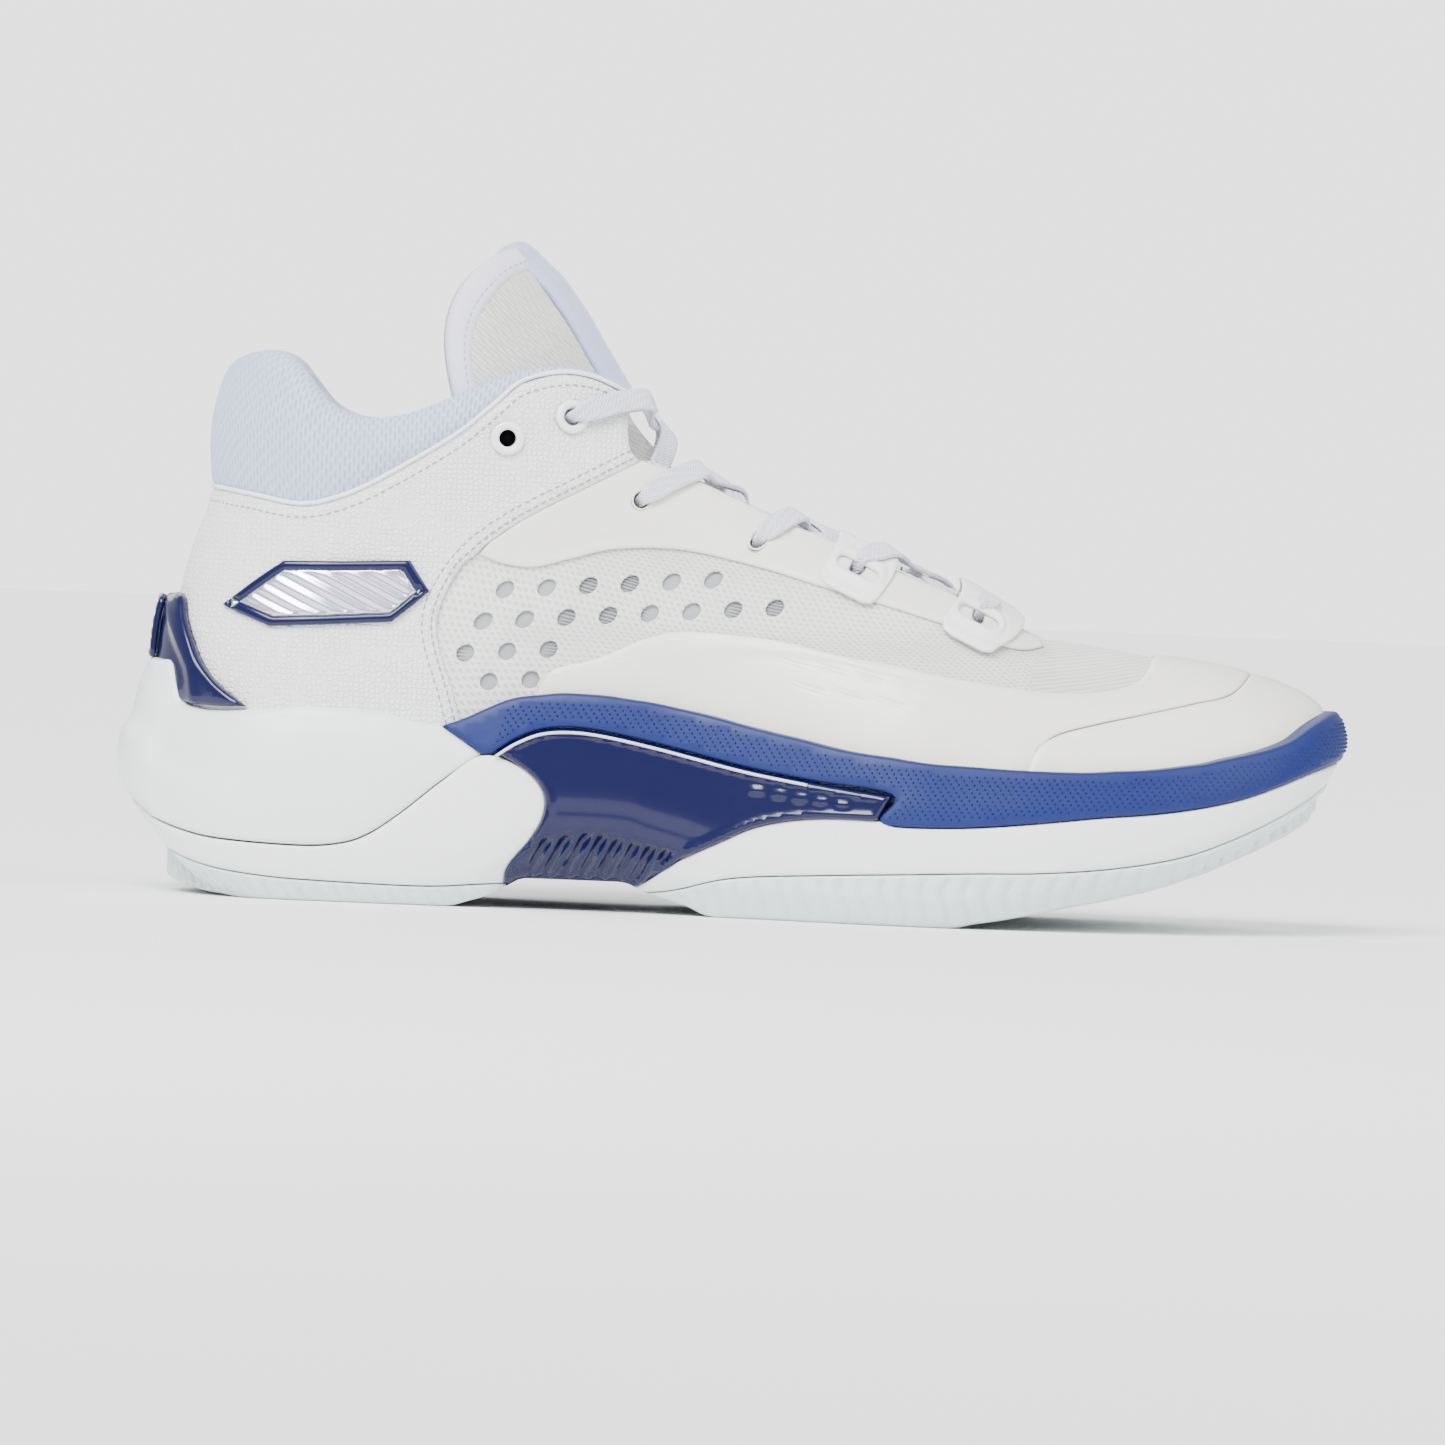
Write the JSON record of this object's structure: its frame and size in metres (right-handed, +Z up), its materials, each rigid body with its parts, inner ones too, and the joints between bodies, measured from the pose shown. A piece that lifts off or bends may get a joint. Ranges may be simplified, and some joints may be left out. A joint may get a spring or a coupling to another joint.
{
  "type": "basketball high top",
  "caption": "Right-foot basketball high top with a laced mesh upper, padded ankle collar, fold-forward tongue with pull strap, moulded foam sole, shank plate and rubber outsole.",
  "frame": {"origin": "on the ground under the middle of the shoe's bounding box", "axes": "+X to the toe, +Y to the inner (medial) side, +Z up; the outsole rests on Z = 0"},
  "size_m": [0.301, 0.1096, 0.1613],
  "materials": {
    "foam_white": "moulded white foam, satin",
    "foam_cup": "smooth cool white foam, satin",
    "rand_blue": "royal blue rubber with small raised diamonds",
    "plate_navy": "glossy navy moulding",
    "outsole_rubber": "icy translucent rubber",
    "board_fibre": "stiffened fibre sheet",
    "insole_foam": "foam footbed with a knitted top",
    "lining_textile": "spacer knit lining",
    "quarter_leather": "white synthetic leather with a fine scale emboss",
    "film_cream": "smooth cream film",
    "cap_cream": "solid cream film",
    "vamp_mesh": "ripstop mesh with round grey perforations",
    "collar_knit": "pale ice-blue knit",
    "clip_navy": "glossy navy moulding",
    "tongue_mesh": "cream grey ripstop mesh",
    "tongue_foam": "foam faced with lining knit",
    "tongue_binding": "woven edge binding",
    "strap_satin": "lavender satin webbing",
    "lace_textile": "flat woven lace with grey and lavender flecks",
    "lace_tip": "clear film lace tip",
    "ring_plastic": "white raised ring",
    "loop_film": "smooth white folded tab",
    "badge_silver": "silver blue moulded badge"
  },
  "bodies": {
    "shoe": {"midsole_foam": "foam_white", "heel_foam_cup": "foam_cup", "forefoot_rand": "rand_blue", "shank_plate": "plate_navy", "heel_outsole": "outsole_rubber", "forefoot_outsole": "outsole_rubber", "lasting_board": "board_fibre", "heel_counter": "board_fibre", "toe_puff": "board_fibre", "insole": "insole_foam", "lining": "lining_textile", "midfoot_backing_lateral": "lining_textile", "midfoot_backing_medial": "lining_textile", "quarter_lateral": "quarter_leather", "quarter_medial": "quarter_leather", "forefoot_film": "film_cream", "eyestay_lateral": "film_cream", "eyestay_medial": "film_cream", "toe_cap": "cap_cream", "vamp_mesh": "vamp_mesh", "collar_pad": "collar_knit", "heel_clip": "clip_navy", "clip_spine": "clip_navy", "tongue_face_lower": "tongue_mesh", "tongue_pad_lower": "tongue_foam", "lace": "lace_textile", "lace_tip_lateral": "lace_tip", "lace_tip_medial": "lace_tip", "eyelet_ring_upper_lateral": "ring_plastic", "eyelet_ring_upper_medial": "ring_plastic", "eyelet_ring_lower_lateral": "ring_plastic", "eyelet_ring_lower_medial": "ring_plastic", "ghillie_loop_front_lateral": "loop_film", "ghillie_loop_front_medial": "loop_film", "ghillie_loop_rear_lateral": "loop_film", "ghillie_loop_rear_medial": "loop_film", "badge_lateral": "badge_silver", "badge_medial": "badge_silver"},
    "tongue_top": {"tongue_face_top": "tongue_mesh", "tongue_pad_top": "tongue_foam", "tongue_binding": "tongue_binding", "pull_strap": "strap_satin"}
  },
  "joints": [
    {"name": "tongue_fold", "type": "hinge", "parent": "shoe", "child": "tongue_top", "pos_m": [-0.03, 0, 0.133], "axis": [0, 1, 0], "range_deg": [0, 35], "stiffness_Nm_per_rad": 0.05}
  ]
}
